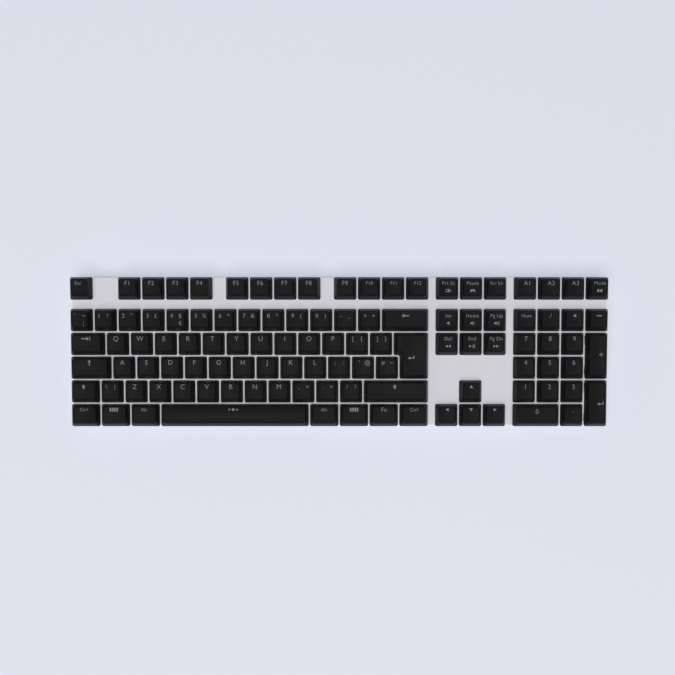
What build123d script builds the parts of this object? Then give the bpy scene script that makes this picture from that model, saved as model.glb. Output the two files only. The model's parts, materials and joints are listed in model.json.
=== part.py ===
from build123d import *

import os
from math import atan, cos, radians, sin, tan

# A full-size mechanical keyboard with the ISO layout and no bezel. Sculpted caps stand on sliding
# switches in a steel plate, which closes a wedge-shaped tray. All lengths are in millimetres.
# X runs to the right, Y away from the user and Z up from the desk.

os.makedirs("parts", exist_ok=True)

# ---- driving dimensions: the key field ----
unit = 19.05  # key pitch
cap_gap = 1.05  # between neighbouring caps
parting_line = 0.04  # between the Enter cap's main block and the ear behind its step
field_columns = 22.5  # widths and row places are in units
row_at = {"function": 5.82, "number": 4.5, "upper": 3.5, "home": 2.5, "lower": 1.5, "bottom": 0.5}
deck_angle = radians(4.5)  # typing angle
deck_front_z = 15.0  # plate top above the desk, at the front
key_travel = 4.0

# ---- driving dimensions: the body ----
body_inset = 0.9  # the tray stands in from the key field, so the caps cover it
rear_inset = 1.15
body_corner = 3.0
plate_thickness = 1.5
tray_wall = 1.4
tray_floor = 2.5
tray_underside = 1.5  # above the desk, on its rubber feet
tray_chamfer = 1.5
board_top, board_thickness = -5.0, 1.6  # heights on the deck are from the plate's top
board_margin = 0.25

# ---- driving dimensions: caps ----
skirt_height = 6.3  # cap edge above the plate, at rest
side_slope, front_slope, rear_slope = 2.5, 3.7, 0.9  # how far each wall leans in
base_corner, top_corner = 1.5, 2.4
dish_depth = 0.7
crown_radius = 24.0
cap_wall, cap_roof = 1.4, 1.5
row_height = {"function": 11.2, "number": 11.2, "upper": 10.0, "home": 9.4, "lower": 9.5, "bottom": 9.6}
row_tilt = {"function": 8, "number": 8, "upper": 4.5, "home": 1, "lower": -3.5, "bottom": -4}

# ---- driving dimensions: switches and stabilisers ----
cutout = 14.0
base_width, flange_width, flange_thickness = 13.9, 15.6, 1.0
cover_foot, cover_top, cover_height = 14.8, 11.0, 5.6
cover_room, cover_roof = 10.4, 1.0
opening_x, opening_y = 7.2, 5.8
shoulder_height = 6.35  # top of the slider's body, under the cap's post
cross_long, cross_thick, cross_height = 4.0, 1.17, 3.8
post_diameter, socket_clearance = 5.4, 0.05
spring_outer, spring_inner = 4.6, 3.8
tube_outer, tube_inner = 3.4, 2.5
stab_short, stab_long = 11.9, 50.0  # half spread of a stabiliser's two stems
wire_radius, wire_back, wire_height = 0.75, 8.6, -2.6
running_gap = 0.05
stem_clearance = 0.2  # between a cap's post, pushed right down, and the guide under it
guide_top = shoulder_height + running_gap - key_travel - stem_clearance
guide_width, guide_length = 6.4, 10.8
contact_foot, contact_length = -8.2, 8.8
switch_post_radius = 1.95  # the peg under each switch, in its hole in the board
diode_x, diode_length, diode_width, diode_height = -5.0, 2.6, 1.5, 1.0
controller_at, controller_side, controller_height = (11.25 * unit, 5.16 * unit), 9.0, 1.2

# ---- driving dimensions: feet, screws and inlet ----
screw_seat, screw_top, boss_top = -12.6, -4.0, -8.4
screw_radius, head_radius, head_height = 1.25, 2.3, 1.8
foot_width, foot_length, foot_half_thickness = 33.0, 20.0, 1.9
inlet_width, inlet_height, inlet_length, inlet_shell = 8.94, 3.16, 7.35, 0.3
tongue_width, tongue_thickness, tongue_setback, tongue_root = 6.7, 0.7, 0.8, 1.0
standoff_radius, boss_radius = 2.2, 3.5
pin_radius, pin_reach, knuckle_radius = 1.5, 1.7, 2.1  # of the tilt feet
pad_width, pad_recess = 9.4, 0.8

field_width = field_columns * unit
field_depth = (row_at["function"] + 0.5) * unit
body_rear = field_depth - rear_inset
rise, run = sin(deck_angle), cos(deck_angle)

# The origin is under the middle of the whole: the front row's skirt reaches furthest forward, and
# the tray's leaning rear wall reaches furthest back where its chamfer begins.
tray_bottom_rear = (tray_underside - deck_front_z - body_rear * rise) / run
front_reach = cap_gap / 2 * run - skirt_height * rise
rear_reach = body_rear * run - (tray_bottom_rear + tray_chamfer) * rise
deck_front_y = -(front_reach + rear_reach) / 2

# Rubber pads under the tray: middle and length, the front pair long and the rear pair short.
pad_front_y, pad_rear_y = deck_front_y + 11.0, deck_front_y + 113.0
feet_pads = [(-170.0, pad_front_y, 46.0), (170.0, pad_front_y, 46.0)]
feet_pads += [(-188.0, pad_rear_y, 26.0), (188.0, pad_rear_y, 26.0)]

deck = Plane(origin=(-field_width / 2, deck_front_y, deck_front_z), x_dir=(1, 0, 0), z_dir=(0, -rise, run))
below_desk = 45.0  # longer than the body is deep

# ---- the layout: row, left edge and widths of each group of keys ----
key_groups = {
    "key_escape": ("function", 0, [1]),
    "keys_f1_to_f4": ("function", 2, [1] * 4),
    "keys_f5_to_f8": ("function", 6.5, [1] * 4),
    "keys_f9_to_f12": ("function", 11, [1] * 4),
    "keys_print_scroll_pause": ("function", 15.25, [1] * 3),
    "keys_macro_and_mode": ("function", 18.5, [1] * 4),
    "keys_number_row": ("number", 0, [1] * 13),
    "key_backspace": ("number", 13, [2]),
    "keys_insert_home_page_up": ("number", 15.25, [1] * 3),
    "keys_numpad_operators": ("number", 18.5, [1] * 4),
    "key_tab": ("upper", 0, [1.5]),
    "keys_letters_upper": ("upper", 1.5, [1] * 12),
    "keys_delete_end_page_down": ("upper", 15.25, [1] * 3),
    "keys_numpad_789": ("upper", 18.5, [1] * 3),
    "key_caps_lock": ("home", 0, [1.75]),
    "keys_letters_home": ("home", 1.75, [1] * 12),
    "keys_numpad_456": ("home", 18.5, [1] * 3),
    "key_shift_left": ("lower", 0, [1.25]),
    "keys_letters_lower": ("lower", 1.25, [1] * 11),
    "key_shift_right": ("lower", 12.25, [2.75]),
    "key_arrow_up": ("lower", 16.25, [1]),
    "keys_numpad_123": ("lower", 18.5, [1] * 3),
    "key_control_left": ("bottom", 0, [1.25]),
    "key_system_left": ("bottom", 1.25, [1.25]),
    "key_alt_left": ("bottom", 2.5, [1.25]),
    "key_space": ("bottom", 3.75, [6.25]),
    "key_alt_right": ("bottom", 10, [1.25]),
    "key_system_right": ("bottom", 11.25, [1.25]),
    "key_layer": ("bottom", 12.5, [1.25]),
    "key_control_right": ("bottom", 13.75, [1.25]),
    "key_arrow_left": ("bottom", 15.25, [1]),
    "key_arrow_down": ("bottom", 16.25, [1]),
    "key_arrow_right": ("bottom", 17.25, [1]),
    "key_numpad_0": ("bottom", 18.5, [2]),
    "key_numpad_point": ("bottom", 20.5, [1]),
}
# Keys two rows deep: column of their middle, row border that they straddle, height and tilt.
tall_keys = {
    "key_numpad_plus": (22.0, 3.0, 9.7, 2.5),
    "key_numpad_enter": (22.0, 1.0, 9.6, -3.5),
    "key_enter": (14.375, 3.0, 9.7, 2.5),
}
# Stabilised keys: half spread of the stems, and how far the unit is turned so that its wire runs
# where there is room.
stabilised = {
    "key_backspace": (stab_short, 0),
    "key_shift_right": (stab_short, 0),
    "key_space": (stab_long, 180),
    "key_numpad_0": (stab_short, 180),
    "key_numpad_plus": (stab_short, -90),
    "key_numpad_enter": (stab_short, -90),
    "key_enter": (stab_short, -90),
}
# Screws, in units from the front left corner of the key field: between the rows.
screw_spots = [(x, 5.16) for x in (0.75, 5.0, 9.25, 13.5, 17.75, 21.75)]
screw_spots += [(x, 1.0) for x in (1.25, 10.6, 15.125, 18.375, 20.95)]
screw_spots += [(4.0, 3.0), (9.0, 3.0)]


def on_deck(x, y, turn=0):
    """A place on the plate's top, in mm from the front left corner of the key field."""
    return deck.location * Location((x, y, 0), (0, 0, turn))


def middles(row, left, widths):
    """The middle of each key of a group, in mm on the deck."""
    places = []
    for width in widths:
        places.append(((left + width / 2) * unit, row_at[row] * unit))
        left += width
    return places


key_places = {name: middles(*group) for name, group in key_groups.items()}
for name, (column, border, height, tilt) in tall_keys.items():
    key_places[name] = [(column * unit, border * unit)]
switch_places = [on_deck(*place) for places in key_places.values() for place in places]

# ---- slider: the cross that holds a cap, a collar under the cover, a spring room and a guide pin ----
collar_x, collar_y, collar_foot, collar_top = 9.6, 6.6, 2.6, 5.5
spring_seat = 5.2
with BuildPart() as slider:
    with BuildSketch(Plane.XY.offset(collar_foot)):
        Rectangle(collar_x, collar_y)
    extrude(amount=collar_top - collar_foot)
    with BuildSketch(Plane.XY.offset(collar_top)):
        Rectangle(opening_x - 0.2, opening_y - 0.2)
    extrude(amount=shoulder_height - collar_top)
    with BuildSketch(Plane.XY.offset(collar_foot)):
        Circle(2.5)
    extrude(amount=spring_seat - collar_foot, mode=Mode.SUBTRACT)
    with BuildSketch(Plane.XY.offset(-2.5)):
        Circle(tube_inner / 2 - 0.1)
    extrude(amount=spring_seat + 2.5)
    with BuildSketch(Plane.XY.offset(shoulder_height)):
        Rectangle(cross_long, cross_thick)
        Rectangle(cross_thick, cross_long)
    extrude(amount=cross_height)

# ---- stabiliser stem: a column with a window for the wire's arm and the same cross on top ----
stem_x, stem_y, stem_foot = 4.4, 4.8, -2.3
window_foot, window_height, window_width = -1.7, 3.05, 2.0
with BuildPart() as stabiliser_stem:
    with BuildSketch(Plane.XY.offset(stem_foot)):
        Rectangle(stem_x, stem_y)
    extrude(amount=shoulder_height - stem_foot)
    with BuildSketch(Plane.XY.offset(window_foot)):
        with Locations((0, -0.6)):
            Rectangle(window_width, stem_y - 1.2)
    extrude(amount=window_height, mode=Mode.SUBTRACT)
    with BuildSketch(Plane.XY.offset(shoulder_height)):
        Rectangle(cross_long, cross_thick)
        Rectangle(cross_thick, cross_long)
    extrude(amount=cross_height)


def rounded(plane, width, depth, corner, back=0):
    """A rounded rectangle on a plane, with its middle moved back."""
    with BuildSketch(plane) as outline:
        with Locations((0, back)):
            RectangleRounded(width, depth, corner)
    return outline.sketch


def stepped(plane, side, front, rear, corner):
    """The stepped outline of the ISO Enter key, stood in by side, front and rear."""
    half_gap = cap_gap / 2
    right, left_low = 0.625 * unit - half_gap - side, -0.625 * unit + half_gap + side
    left_high = left_low - 0.25 * unit
    low, step, high = -unit + half_gap + front, half_gap + front, unit - half_gap - rear
    lower_corners = [(left_low, step), (left_low, low), (right, low)]
    with BuildSketch(plane) as outline:
        Polygon(*lower_corners, (right, high), (left_high, high), (left_high, step), align=None)
        fillet(outline.vertices(), corner)
    return outline.sketch


def make_cap(columns, rows, height, tilt, posts=((0, 0),), crowned=False, is_enter=False):
    """A hollow cap with leaning walls, its origin at the middle of its skirt's edge. The Enter cap is
    parted at its step into two solids, so that each one collides as its own convex shape."""
    width, depth = columns * unit - cap_gap, rows * unit - cap_gap
    top_width, top_depth = width - 2 * side_slope, depth - front_slope - rear_slope
    lean = radians(tilt)
    edge_height = height if crowned else height + dish_depth
    back = (front_slope - rear_slope) / 2
    roof = height - cap_roof - top_depth / 2 * abs(tan(lean)) * 0.8
    side_in, front_in, rear_in = (
        cap_wall + slope * roof / height for slope in (side_slope, front_slope, rear_slope)
    )
    under_roof = Plane.XY.offset(roof)
    if is_enter:
        top = Plane(origin=(0, 0, edge_height), x_dir=(1, 0, 0), z_dir=(0, -sin(lean), cos(lean)))
        outer = [stepped(Plane.XY, 0, 0, 0, base_corner)]
        outer.append(stepped(top, side_slope, front_slope, rear_slope, 1.2))
        inner = [stepped(Plane.XY, cap_wall, cap_wall, cap_wall, 0.6)]
        inner.append(stepped(under_roof, side_in, front_in, rear_in, 0.6))
    else:
        top = Plane(origin=(0, back, edge_height), x_dir=(1, 0, 0), z_dir=(0, -sin(lean), cos(lean)))
        outer = [rounded(Plane.XY, width, depth, base_corner)]
        outer.append(rounded(top, top_width, top_depth / cos(lean), top_corner))
        inner = [rounded(Plane.XY, width - 2 * cap_wall, depth - 2 * cap_wall, 0.8)]
        inner_back = (front_in - rear_in) / 2
        inner.append(rounded(under_roof, width - 2 * side_in, depth - front_in - rear_in, 0.8, inner_back))

    half_width = top_width / 2
    dish_radius = (half_width**2 + dish_depth**2) / (2 * dish_depth)
    post_foot = shoulder_height + running_gap - skirt_height
    socket_long, socket_thick = (side + 2 * socket_clearance for side in (cross_long, cross_thick))
    with BuildPart() as cap:
        loft(sections=outer, ruled=True)
        loft(sections=inner, ruled=True, mode=Mode.SUBTRACT)
        if crowned:
            with BuildSketch(Plane(origin=top.origin - top.z_dir * crown_radius, z_dir=(1, 0, 0))):
                Circle(crown_radius)
            extrude(amount=width, both=True, mode=Mode.INTERSECT)
        else:
            axis_at = top.origin + top.z_dir * (dish_radius - dish_depth)
            with BuildSketch(Plane(origin=axis_at, z_dir=top.y_dir)):
                Circle(dish_radius)
            extrude(amount=depth, both=True, mode=Mode.SUBTRACT)
        with BuildSketch(Plane.XY.offset(post_foot)):
            with Locations(*posts):
                Circle(post_diameter / 2)
        extrude(amount=roof + 0.3 - post_foot)
        with BuildSketch(Plane.XY.offset(post_foot)):
            with Locations(*posts):
                Rectangle(socket_long, socket_thick)
                Rectangle(socket_thick, socket_long)
        extrude(amount=cross_height + 0.2, mode=Mode.SUBTRACT)
        if is_enter:
            ear_line = -0.625 * unit + cap_gap / 2 - parting_line
            with Locations((ear_line, 0, 0)):
                Box(parting_line, depth, 3 * height, mode=Mode.SUBTRACT)
    return cap.part


def stem_spots(name):
    """Where a key's stabiliser stems stand, from the key's own middle."""
    spread, turn = stabilised.get(name, (0, 0))
    across = [(spread, 0), (-spread, 0)]
    along = [(0, spread), (0, -spread)]
    return [] if not spread else along if turn == -90 else across


caps = {}
for name, (row, left, widths) in key_groups.items():
    for width in set(widths):
        posts = [(0, 0), *stem_spots(name)]
        crowned = name == "key_space"
        caps[name, width] = make_cap(width, 1, row_height[row], row_tilt[row], posts, crowned)
for name, (column, border, height, tilt) in tall_keys.items():
    wide = 1.25 if name == "key_enter" else 1
    posts = [(0, 0), *stem_spots(name)]
    caps[name, 1] = make_cap(wide, 2, height, tilt, posts, is_enter=name == "key_enter")

# ---- keys: each cap with the slider that it is pushed onto, and its stabiliser's stems ----
for name, places in key_places.items():
    widths = key_groups[name][2] if name in key_groups else [1]
    with BuildPart() as key:
        for place, width in zip(places, widths):
            here = on_deck(*place)
            with Locations(here * Location((0, 0, skirt_height))):
                add(caps[name, width])
            with Locations(here):
                add(slider.part)
            if name in stabilised:
                turn = Location((0, 0, 0), (0, 0, stabilised[name][1]))
                spread = stabilised[name][0]
                sides = [here * turn * Location((side * spread, 0, 0)) for side in (1, -1)]
                with Locations(*sides):
                    add(stabiliser_stem.part)
    key.part.label = name
    export_step(key.part, f"parts/{name}.step", write_pcurves=False)

# ---- stabiliser wires: one bent spring-steel rod under each long key ----
arm_angle = atan(-wire_height / wire_back)
arm_reach = wire_back + 0.3  # its tip stays inside the stem's window all the way down
arm_tip_z = wire_height + arm_reach * tan(arm_angle)
for name, (spread, turn) in stabilised.items():
    at_key = on_deck(*key_places[name][0], turn)
    with BuildPart() as wire:
        with BuildLine() as route:
            tip_y = arm_reach - wire_back
            left_tip, right_tip = (-spread, tip_y, arm_tip_z), (spread, tip_y, arm_tip_z)
            left_bend, right_bend = (-spread, -wire_back, wire_height), (spread, -wire_back, wire_height)
            FilletPolyline(left_tip, left_bend, right_bend, right_tip, radius=1.6)
        with BuildSketch(Plane(origin=route.line @ 0, z_dir=route.line % 0)):
            Circle(wire_radius)
        sweep(path=route.line)
    wire.part.locate(at_key)
    wire_name = name.replace("key_", "wire_")
    wire.part.label = wire_name
    export_step(wire.part, f"parts/{wire_name}.step", write_pcurves=False)

# ---- stabiliser housings: a guide for the stem, and a lug, all under the plate, for the wire ----
lug_left, lug_right, lug_top = -3.3, -1.8, -plate_thickness - 0.1
slot_width, slot_length, slot_middle, slot_top = 2.4, 3.4, -4.0, 1.4
lug_length, lug_middle = 4.8, 1.0 - wire_back
with BuildPart() as stab_unit:
    with BuildSketch(Plane.XY.offset(board_top)):
        Rectangle(guide_width, guide_length)
    extrude(amount=guide_top - board_top)
    with BuildSketch(Plane.XY.offset(board_top)):
        Rectangle(stem_x + stem_clearance, stem_y + stem_clearance)
    extrude(amount=guide_top - board_top, mode=Mode.SUBTRACT)
    with BuildSketch(Plane.XY.offset(board_top)):
        with Locations((0, slot_middle)):
            Rectangle(slot_width, slot_length)
    extrude(amount=slot_top - board_top, mode=Mode.SUBTRACT)
    with BuildSketch(Plane.XY.offset(board_top)):
        with Locations(((lug_left + lug_right) / 2, lug_middle)):
            Rectangle(lug_right - lug_left, lug_length)
    extrude(amount=lug_top - board_top)
    with BuildSketch(Plane(origin=(lug_left - 1, -wire_back, wire_height), z_dir=(1, 0, 0))):
        Circle(wire_radius + running_gap)
    extrude(amount=lug_right - lug_left + 2, mode=Mode.SUBTRACT)
stab_places, mirrored_places = [], []
for name, (spread, turn) in stabilised.items():
    at_key = on_deck(*key_places[name][0], turn)
    stab_places.append(at_key * Location((spread, 0, 0)))
    mirrored_places.append(at_key * Location((-spread, 0, 0)))
with BuildPart() as stab_unit_left:
    mirror(stab_unit.part, about=Plane.YZ)
with BuildPart() as stabiliser_housings:
    with Locations(*stab_places):
        add(stab_unit.part)
    with Locations(*mirrored_places):
        add(stab_unit_left.part)
stabiliser_housings.part.label = "stabiliser_housings"
export_step(stabiliser_housings.part, "parts/stabiliser_housings.step", write_pcurves=False)

# ---- switch housings: the lower shells, clipped in the plate, with a tube for the guide pin ----
cavity, shell_floor = 11.4, -4.0
contact_x, contact_y, contact_wide, contact_thin = 2.5, 4.6, 1.0, 0.3
with BuildPart() as lower_shell:
    with BuildSketch(Plane.XY.offset(board_top)):
        Rectangle(base_width, base_width)
    extrude(amount=-board_top)
    with BuildSketch():
        Rectangle(flange_width, flange_width)
    extrude(amount=flange_thickness)
    with BuildSketch(Plane.XY.offset(shell_floor)):
        Rectangle(cavity, cavity)
    extrude(amount=flange_thickness - shell_floor, mode=Mode.SUBTRACT)
    with BuildSketch(Plane.XY.offset(shell_floor)):
        Circle(tube_outer / 2)
    extrude(amount=0.5 - shell_floor)
    with BuildSketch(Plane.XY.offset(board_top)):
        Circle(switch_post_radius)
    extrude(amount=-3)
    with BuildSketch(Plane.XY.offset(0.5)):
        Circle(tube_inner / 2)
    extrude(amount=-7.5, mode=Mode.SUBTRACT)
    with BuildSketch(Plane.XY.offset(board_top)):
        with Locations((contact_x, contact_y), (-contact_x, contact_y)):
            Rectangle(contact_wide + 0.1, contact_thin + 0.1)
    extrude(amount=1.5, mode=Mode.SUBTRACT)
with BuildPart() as switch_housings:
    with Locations(*switch_places):
        add(lower_shell.part)
switch_housings.part.label = "switch_housings"
export_step(switch_housings.part, "parts/switch_housings.step", write_pcurves=False)

# ---- switch covers: the upper shells, with the opening that the slider rises through ----
with BuildPart() as upper_shell:
    with BuildSketch(Plane.XY.offset(flange_thickness)):
        Rectangle(cover_foot, cover_foot)
    with BuildSketch(Plane.XY.offset(flange_thickness + cover_height)):
        Rectangle(cover_top, cover_top)
    loft(ruled=True)
    with BuildSketch(Plane.XY.offset(flange_thickness)):
        Rectangle(cover_room, cover_room)
    extrude(amount=cover_height - cover_roof, mode=Mode.SUBTRACT)
    with BuildSketch(Plane.XY.offset(flange_thickness)):
        Rectangle(opening_x, opening_y)
    extrude(amount=cover_height, mode=Mode.SUBTRACT)
with BuildPart() as switch_covers:
    with Locations(*switch_places):
        add(upper_shell.part)
switch_covers.part.label = "switch_covers"
export_step(switch_covers.part, "parts/switch_covers.step", write_pcurves=False)

# ---- switch springs: each coil as the sleeve that it fills, between shell floor and slider ----
with BuildPart() as spring:
    with BuildSketch(Plane.XY.offset(shell_floor)):
        Circle(spring_outer / 2)
        Circle(spring_inner / 2, mode=Mode.SUBTRACT)
    extrude(amount=spring_seat - shell_floor)
with BuildPart() as switch_springs:
    with Locations(*switch_places):
        add(spring.part)
switch_springs.part.label = "switch_springs"
export_step(switch_springs.part, "parts/switch_springs.step", write_pcurves=False)

# ---- switch contacts: two metal leaves in each switch, through the board ----
with BuildPart() as contact_pair:
    with BuildSketch(Plane.XY.offset(contact_foot)):
        with Locations((contact_x, contact_y), (-contact_x, contact_y)):
            Rectangle(contact_wide, contact_thin)
    extrude(amount=contact_length)
with BuildPart() as switch_contacts:
    with Locations(*switch_places):
        add(contact_pair.part)
switch_contacts.part.label = "switch_contacts"
export_step(switch_contacts.part, "parts/switch_contacts.step", write_pcurves=False)

# ---- switch plate: steel sheet with a square hole for each switch, and holes for stabilisers ----
body_width, body_depth = field_width - 2 * body_inset, body_rear - body_inset
body_middle = (field_width / 2, (body_rear + body_inset) / 2)
guide_hole_width, guide_hole_front, guide_hole_rear = 7.0, -8.2, 5.9
with BuildPart() as switch_plate:
    with BuildSketch(deck):
        with Locations(body_middle):
            RectangleRounded(body_width, body_depth, body_corner)
        with Locations(*(place for places in key_places.values() for place in places)):
            Rectangle(cutout, cutout, mode=Mode.SUBTRACT)
        for name, (spread, turn) in stabilised.items():
            with Locations(Location((*key_places[name][0], 0), (0, 0, turn))):
                hole_middle = (guide_hole_front + guide_hole_rear) / 2
                with Locations((spread, hole_middle), (-spread, hole_middle)):
                    Rectangle(guide_hole_width, guide_hole_rear - guide_hole_front, mode=Mode.SUBTRACT)
    extrude(amount=-plate_thickness)
switch_plate.part.label = "switch_plate"
export_step(switch_plate.part, "parts/switch_plate.step", write_pcurves=False)

# ---- standoffs: threaded brass sleeves that hang from the plate, through the board ----
with BuildPart() as plate_standoffs:
    with BuildSketch(deck.offset(-plate_thickness)):
        with Locations(*((x * unit, y * unit) for x, y in screw_spots)):
            Circle(standoff_radius)
    extrude(amount=boss_top + plate_thickness)
    with BuildSketch(deck.offset(boss_top)):
        with Locations(*((x * unit, y * unit) for x, y in screw_spots)):
            Circle(screw_radius + running_gap)
    extrude(amount=screw_top + 0.8 - boss_top, mode=Mode.SUBTRACT)
plate_standoffs.part.label = "plate_standoffs"
export_step(plate_standoffs.part, "parts/plate_standoffs.step", write_pcurves=False)

# ---- circuit board: holes for the switches' posts and contacts, the standoffs and the stems ----
board_inset = tray_wall + board_margin
with BuildPart() as circuit_board:
    with BuildSketch(deck.offset(board_top)):
        with Locations(body_middle):
            Rectangle(body_width - 2 * board_inset, body_depth - 2 * board_inset)
        with Locations(*(place for places in key_places.values() for place in places)):
            Circle(switch_post_radius + 0.1, mode=Mode.SUBTRACT)
            with Locations((contact_x, contact_y), (-contact_x, contact_y)):
                Circle(0.65, mode=Mode.SUBTRACT)
        with Locations(*((x * unit, y * unit) for x, y in screw_spots)):
            Circle(standoff_radius + 0.2, mode=Mode.SUBTRACT)
        for name, (spread, turn) in stabilised.items():
            with Locations(Location((*key_places[name][0], 0), (0, 0, turn))):
                with Locations((spread, 0), (-spread, 0)):
                    Rectangle(stem_x + 0.6, stem_y + 0.6, mode=Mode.SUBTRACT)
    extrude(amount=-board_thickness)
circuit_board.part.label = "circuit_board"
export_step(circuit_board.part, "parts/circuit_board.step", write_pcurves=False)

# ---- board components: a controller chip, and one small diode for each switch, underneath ----
board_underside = board_top - board_thickness
with BuildPart() as board_components:
    with BuildSketch(deck.offset(board_underside)):
        with Locations(*(place for places in key_places.values() for place in places)):
            with Locations((diode_x, 0)):
                Rectangle(diode_length, diode_width)
    extrude(amount=-diode_height)
    with BuildSketch(deck.offset(board_underside)):
        with Locations(controller_at):
            Rectangle(controller_side, controller_side)
    extrude(amount=-controller_height)
board_components.part.label = "board_components"
export_step(board_components.part, "parts/board_components.step", write_pcurves=False)

# ---- inlet: a small reversible power and data socket under the board's rear edge ----
inlet_x, inlet_mouth = 10.75 * unit, body_rear - 0.3
inlet_centre = board_underside - inlet_height / 2
inlet_at = deck.from_local_coords(Vector(inlet_x, inlet_mouth, inlet_centre))
inlet_face = Plane(origin=inlet_at, x_dir=(1, 0, 0), z_dir=deck.y_dir)
with BuildPart() as socket_inlet:
    with BuildSketch(inlet_face):
        SlotOverall(inlet_width, inlet_height)
    extrude(amount=-inlet_length)
    with BuildSketch(inlet_face):
        SlotOverall(inlet_width - 2 * inlet_shell, inlet_height - 2 * inlet_shell)
    extrude(amount=inlet_shell - inlet_length, mode=Mode.SUBTRACT)
    with BuildSketch(inlet_face.offset(-tongue_setback)):
        Rectangle(tongue_width, tongue_thickness)
    extrude(amount=tongue_root - inlet_length)
socket_inlet.part.label = "socket_inlet"
export_step(socket_inlet.part, "parts/socket_inlet.step", write_pcurves=False)

# ---- tray: floor, walls, screw bosses, and two pockets that the tilt feet fold into ----
pocket_x = (55.0, field_width - 55.0)
pocket_width, pocket_depth, pocket_top = foot_width + 0.6, 25.0, 7.0
pocket_middle_y = deck_front_y + 96.0
hinge_y, hinge_z = pocket_middle_y + pocket_depth / 2 - 3.2, 4.1
pocket_roof, pocket_side, pocket_end = 1.5, 2.0, 1.5  # walls round a pocket
with BuildPart() as tray_room:
    with BuildSketch(deck.offset(-plate_thickness)):
        with Locations(body_middle):
            Rectangle(body_width - 2 * tray_wall, body_depth - 2 * tray_wall)
    extrude(amount=-below_desk)
    split(bisect_by=Plane.XY.offset(tray_underside + tray_floor), keep=Keep.TOP)
with BuildPart() as tray_bosses:
    with BuildSketch(deck.offset(boss_top)):
        with Locations(*((x * unit, y * unit) for x, y in screw_spots)):
            Circle(boss_radius)
    extrude(amount=-below_desk)
    split(bisect_by=Plane.XY.offset(tray_underside + tray_floor / 2), keep=Keep.TOP)
with BuildPart() as bottom_tray:
    with BuildSketch(deck.offset(-plate_thickness)):
        with Locations(body_middle):
            RectangleRounded(body_width, body_depth, body_corner)
    extrude(amount=-below_desk)
    split(bisect_by=Plane.XY.offset(tray_underside), keep=Keep.TOP)
    chamfer(bottom_tray.edges().group_by(Axis.Z)[0], length=tray_chamfer)
    add(tray_room.part, mode=Mode.SUBTRACT)
    add(tray_bosses.part)
    with BuildSketch(deck.offset(boss_top)):
        with Locations(*((x * unit, y * unit) for x, y in screw_spots)):
            Circle(screw_radius + 0.2)
    extrude(amount=-below_desk, mode=Mode.SUBTRACT)
    with BuildSketch(deck.offset(screw_seat)):
        with Locations(*((x * unit, y * unit) for x, y in screw_spots)):
            Circle(head_radius + 0.3)
    extrude(amount=-below_desk, mode=Mode.SUBTRACT)
    with BuildSketch(Plane.XY.offset(tray_underside + tray_floor / 2)):
        with Locations(*((x - field_width / 2, pocket_middle_y) for x in pocket_x)):
            Rectangle(pocket_width + 2 * pocket_side, pocket_depth + 2 * pocket_end)
    extrude(amount=pocket_top + pocket_roof - tray_underside - tray_floor / 2)
    with BuildSketch(Plane.XY):
        with Locations(*((x - field_width / 2, pocket_middle_y) for x in pocket_x)):
            Rectangle(pocket_width, pocket_depth)
    extrude(amount=pocket_top, mode=Mode.SUBTRACT)
    for x in pocket_x:
        with BuildSketch(Plane(origin=(x - field_width / 2, hinge_y, hinge_z), z_dir=(1, 0, 0))):
            Circle(pin_radius + running_gap)
        extrude(amount=pocket_width / 2 + 1.6, both=True, mode=Mode.SUBTRACT)
    with BuildSketch(inlet_face):
        SlotOverall(inlet_width + 0.6, inlet_height + 0.6)
    extrude(amount=3, both=True, mode=Mode.SUBTRACT)
    with BuildSketch(Plane.XY):
        for x, y, length in feet_pads:
            with Locations((x, y)):
                SlotOverall(length, pad_width)
    extrude(amount=tray_underside + pad_recess, mode=Mode.SUBTRACT)
bottom_tray.part.label = "bottom_tray"
export_step(bottom_tray.part, "parts/bottom_tray.step", write_pcurves=False)

# ---- tray screws: up through the bosses into the standoffs ----
with BuildPart() as tray_screws:
    with BuildSketch(deck.offset(screw_seat)):
        with Locations(*((x * unit, y * unit) for x, y in screw_spots)):
            Circle(screw_radius)
    extrude(amount=screw_top - screw_seat)
    with BuildSketch(deck.offset(screw_seat)):
        with Locations(*((x * unit, y * unit) for x, y in screw_spots)):
            Circle(head_radius)
    extrude(amount=-head_height)
    with BuildSketch(deck.offset(screw_seat - head_height)):
        with Locations(*((x * unit, y * unit) for x, y in screw_spots)):
            Rectangle(2.6, 0.6)
            Rectangle(0.6, 2.6)
    extrude(amount=1.0, mode=Mode.SUBTRACT)
tray_screws.part.label = "tray_screws"
export_step(tray_screws.part, "parts/tray_screws.step", write_pcurves=False)

# ---- rubber feet: four pads in shallow recesses of the tray ----
with BuildPart() as rubber_feet:
    with BuildSketch():
        for x, y, length in feet_pads:
            with Locations((x, y)):
                SlotOverall(length - 0.2, pad_width - 0.2)
    extrude(amount=tray_underside + pad_recess)
rubber_feet.part.label = "rubber_feet"
export_step(rubber_feet.part, "parts/rubber_feet.step", write_pcurves=False)

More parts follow.
